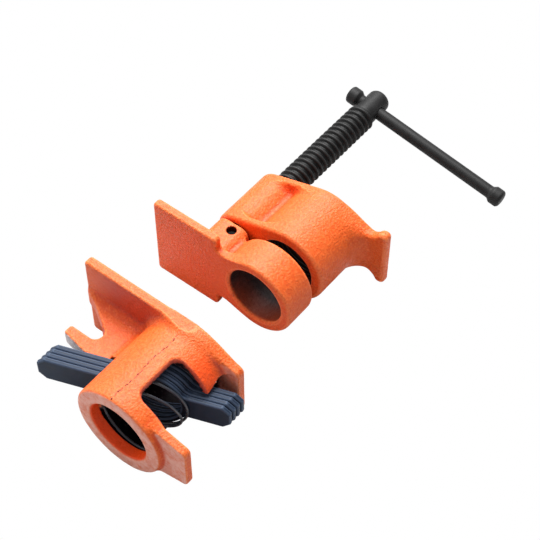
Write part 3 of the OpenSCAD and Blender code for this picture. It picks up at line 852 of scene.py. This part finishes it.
# %% Enamel
def enamel():
    """A clouded base, with one colour after another mixed over it by a mask: a painted shade in hollows,
    worn edges, a painted shade and a painted highlight in the grain, chips, a painted light of brighter
    orange, a painted shade of darker maroon, rub-worn paint with a painted light, unpainted iron
    darkened as a painted shade, a painted black shade and ground metal lightened as a painted
    reflection."""
    material, tree, place = start("orange_enamel")
    edge, bare, ground, rubbed, soot, deep, thin = (
        node(tree, "ShaderNodeAttribute", attribute_name=layer).outputs["Fac"]
        for layer in ("edge", "bare", "ground", "rubbed", "soot", "deep", "thin"))
    cloud = noise(tree, place, 14.0, 3.0)
    grain = noise(tree, place, 1.0, 2.0)
    peel = noise(tree, place, 2.4, 2.0)
    base = ramp(tree, cloud, (0.3, (0.72, 0.098, 0.008)), (0.7, (0.77, 0.118, 0.012)))
    # Painted shade: hollows, where the edge value is low, are darkened to a deeper red.
    painted_hollow_shade = ramp(tree, edge, (0.36, (1, 1, 1)), (0.46, (0, 0, 0)))
    worn = ramp(tree, edge, (0.62, (0, 0, 0)), (0.88, (1, 1, 1)))
    chips = ramp(tree, noise(tree, place, 1.3, 4.0), (0.60, (0, 0, 0)), (0.68, (1, 1, 1)))
    # Painted shade and highlight in the grain: its low spots darker and more saturated, its high spots
    # paler, whatever the light.
    painted_pit_shade = ramp(tree, grain, (0.34, (0.6, 0.6, 0.6)), (0.50, (0, 0, 0)))
    painted_peak_highlight = ramp(tree, grain, (0.52, (0, 0, 0)), (0.68, (0.4, 0.4, 0.4)))
    colour = mix(tree, painted_hollow_shade, base, (0.68, 0.070, 0.008))
    colour = mix(tree, worn, colour, (0.86, 0.195, 0.050))
    colour = mix(tree, painted_pit_shade, colour, (0.70, 0.072, 0.005))
    colour = mix(tree, painted_peak_highlight, colour, (0.88, 0.200, 0.050))
    colour = mix(tree, mix(tree, worn, (0, 0, 0), chips), colour, (0.62, 0.10, 0.035))
    # Painted light: a brighter, more saturated orange in the flange's bore and down the neck's near
    # side.
    colour = mix(tree, deep, colour, (0.95, 0.075, 0.004))
    # Painted shade: a darker maroon on the back of the jaw plate's far side and on the window's rim.
    colour = mix(tree, thin, colour, (0.46, 0.060, 0.036))
    # Rub: pale pink on the back of the flange and its foot; on the back of the jaw plate's near side
    # this pale colour is a painted light.
    scuff = ramp(tree, noise(tree, place, 3.0, 6.0, 0.7), (0.35, (0.3,) * 3), (0.6, (0.95,) * 3))
    colour = mix(tree, mix(tree, rubbed, (0, 0, 0), scuff), colour, (0.90, 0.46, 0.37))
    spots = noise(tree, place, 1.8, 4.0)
    # Unpainted iron, its colour darkened to near black as a painted shade.
    iron = ramp(tree, spots, (0.35, (0.010, 0.004, 0.005)), (0.65, (0.034, 0.017, 0.017)))
    colour = mix(tree, bare, colour, iron)
    # Painted black shade further inside, which also takes the specular away below.
    colour = mix(tree, soot, colour, (0.004, 0.002, 0.003))
    # Ground metal on the finger, lightened to a pale grey as a painted reflection.
    ground_grey_and_painted_reflection = ramp(tree, spots, (0.35, (0.52, 0.44, 0.45)), (0.65, (0.86, 0.78, 0.78)))
    colour = mix(tree, ground, colour, ground_grey_and_painted_reflection)
    gloss = ramp(tree, peel, (0.3, (0.46, 0.46, 0.46)), (0.7, (0.58, 0.58, 0.58)))
    shine = mix(tree, soot, (0.36, 0.36, 0.36), (0, 0, 0))
    finish_surface(tree, colour, gloss, [(peel, 0.28, 0.5), (grain, 0.50, 0.9)], shine,
                   Coat_Weight=0.03, Coat_Roughness=0.30)
    return material


orange = enamel()
print("enamel made")

# %% [markdown]
# ### Black and blued steel
# The screw is blackened, with a painted highlight on its crests, where they also rub, and a painted
# shade in its valleys. The plates are heat blued and slightly clouded, with a painted highlight on
# their edges and a near black painted shade over their middles round the hole. The spring's wire is
# the shiniest of the three.

# %% Steels
def dark_steel(name, dark, light, edge_wear_and_highlight, rough, shine):
    """Clouds between two colours; on edges a lighter colour, partly wear and partly a painted highlight;
    a near black painted shade in hollows and over the plates' middles.
    """
    material, tree, place = start(name)
    edge = node(tree, "ShaderNodeAttribute", attribute_name="edge").outputs["Fac"]
    cloud = noise(tree, place, 5.0, 4.0, 0.6)
    grain = noise(tree, place, 0.5, 2.0)
    base = ramp(tree, cloud, (0.3, dark), (0.7, light))
    # Lighter colour on edges: rub wear on the screw's crests, and a painted highlight there and on the
    # plates' edges.
    worn = ramp(tree, edge, (0.6, (0, 0, 0)), (0.95, (0.8, 0.8, 0.8)))
    # Painted shade: near black in hollows and in the screw's valleys.
    deep = ramp(tree, edge, (0.05, (1, 1, 1)), (0.42, (0, 0, 0)))
    # Painted shade: near black over the plates' middles, with the edge highlight kept.
    painted_cavity_shade = node(tree, "ShaderNodeAttribute", attribute_name="painted_cavity_shade").outputs["Fac"]
    colour = mix(tree, deep, mix(tree, worn, base, edge_wear_and_highlight), (0.002, 0.002, 0.002))
    colour = mix(tree, painted_cavity_shade, colour, mix(tree, worn, (0.003, 0.003, 0.006), edge_wear_and_highlight))
    gloss = ramp(tree, cloud, (0.3, (rough - 0.06,) * 3), (0.7, (rough + 0.08,) * 3))
    finish_surface(tree, colour, gloss, [(cloud, 0.05, 0.4), (grain, 0.03, 0.4)], shine)
    return material


black = dark_steel("black_oxide", (0.009,) * 3, (0.016,) * 3, (0.022,) * 3, 0.50, 0.20)
blued = dark_steel("blued_plate", (0.010, 0.018, 0.036), (0.020, 0.033, 0.060),
                   (0.06, 0.085, 0.135), 0.46, 0.14)
wire = dark_steel("spring_wire", (0.016, 0.021, 0.030), (0.030, 0.038, 0.052),
                  (0.03, 0.035, 0.045), 0.28, 0.9)
for pieces, material in (((head_piece, jaw_piece, tail_piece, parting_piece), orange),
                         ((shank_piece, head_end, handle_piece, pin_piece), black),
                         (plates, blued), ((spring_piece,), wire)):
    for piece in pieces:
        piece.data.materials.append(material)


def cut_iron():
    """The dark, freshly cut metal of the pipe thread, paler on its crests."""
    material, tree, place = start("cut_iron")
    edge = node(tree, "ShaderNodeAttribute", attribute_name="edge").outputs["Fac"]
    spots = noise(tree, place, 1.4, 4.0)
    base = ramp(tree, spots, (0.3, (0.005, 0.004, 0.004)), (0.7, (0.013, 0.010, 0.010)))
    colour = mix(tree, ramp(tree, edge, (0.7, (0, 0, 0)), (0.95, (1, 1, 1))), base, (0.03, 0.026, 0.025))
    finish_surface(tree, colour, 0.5, [(spots, 0.04, 0.5)])
    return material


thread_piece.data.materials.append(cut_iron())

# %% [markdown]
# ## Floor and light
# A white sweep under soft light. The sky is a soft grey that is brighter above and behind the clamp,
# and one large lamp up there shapes it. Light Path lets the camera see clean white, where other rays
# meet the grey sky and a matt grey floor, so no more light falls on the clamp for it.

# %% Floor
FLOOR_Z = -22.6


def floor():
    """A square grid at the level of the lowest casting."""
    n, half = 20, 2500.0
    u = np.linspace(-half, half, n)
    x, y = np.meshgrid(u, u, indexing="ij")
    points = np.stack([x, y, 0 * x + FLOOR_Z], axis=-1).reshape(-1, 3)
    i, j = np.meshgrid(np.arange(n - 1), np.arange(n - 1), indexing="ij")
    a = (i * n + j).reshape(-1)
    faces = np.stack([a, a + n, a + n + 1, a + 1], axis=1)
    mesh = bpy.data.meshes.new("floor")
    mesh.from_pydata(points * MM, [], faces)
    piece = bpy.data.objects.new("floor", mesh)
    bpy.context.scene.collection.objects.link(piece)
    material, tree, place = start("floor_white")
    paper = ramp(tree, noise(tree, place, 300.0), (0.0, (0.48, 0.48, 0.48)), (1.0, (0.52, 0.52, 0.52)))
    matt = node(tree, "ShaderNodeBsdfDiffuse", {"Color": paper})
    white = node(tree, "ShaderNodeEmission", Color=(1, 1, 1, 1), Strength=1.0)
    rays = node(tree, "ShaderNodeLightPath")
    both = node(tree, "ShaderNodeMixShader", {0: rays.outputs["Is Camera Ray"], 1: matt.outputs[0],
                                              2: white.outputs[0]})
    node(tree, "ShaderNodeOutputMaterial", {"Surface": both.outputs[0]})
    mesh.materials.append(material)
    return piece


floor()

# %% Light
world = bpy.data.worlds.new("studio")
bpy.context.scene.world = world
world.use_nodes = True
sky = world.node_tree
sky.nodes.clear()
rays = node(sky, "ShaderNodeLightPath")
way = node(sky, "ShaderNodeTexCoord").outputs["Generated"]
side = node(sky, "ShaderNodeVectorMath", {0: way}, operation="DOT_PRODUCT")
side.inputs[1].default_value = (0.15, 0.75, 0.35)
fall = ramp(sky, node(sky, "ShaderNodeMath", {0: side.outputs["Value"]}, operation="ADD").outputs[0],
            (0.0, (0.30, 0.29, 0.30)), (1.0, (0.70, 0.70, 0.70)))
lit = node(sky, "ShaderNodeBackground", {"Color": fall}, Strength=1.0)
seen = node(sky, "ShaderNodeBackground", Color=(1, 1, 1, 1), Strength=1.0)
both = node(sky, "ShaderNodeMixShader", {0: rays.outputs["Is Camera Ray"], 1: lit.outputs[0],
                                         2: seen.outputs[0]})
node(sky, "ShaderNodeOutputWorld", {"Surface": both.outputs[0]})


def soft_lamp(name, spot, aim, size, power):
    """A square area lamp at a spot, facing a point, both in mm."""
    data = bpy.data.lights.new(name, "AREA")
    data.shape = "SQUARE"
    data.size = size * MM
    data.energy = power
    lamp = bpy.data.objects.new(name, data)
    z = np.array(spot, float) - aim
    z /= np.linalg.norm(z)
    x = np.cross([0, 0, 1.0], z)
    x /= np.linalg.norm(x)
    turn = np.stack([x, np.cross(z, x), z], axis=1)
    rows = [[*map(float, row), float(s) * MM] for row, s in zip(turn, spot)]
    lamp.matrix_world = Matrix(rows + [[0, 0, 0, 1]])
    bpy.context.scene.collection.objects.link(lamp)


soft_lamp("key", (260, 270, 640), (-30, 0, 0), 600, 14.0)
bpy.context.scene.view_settings.view_transform = "Standard"
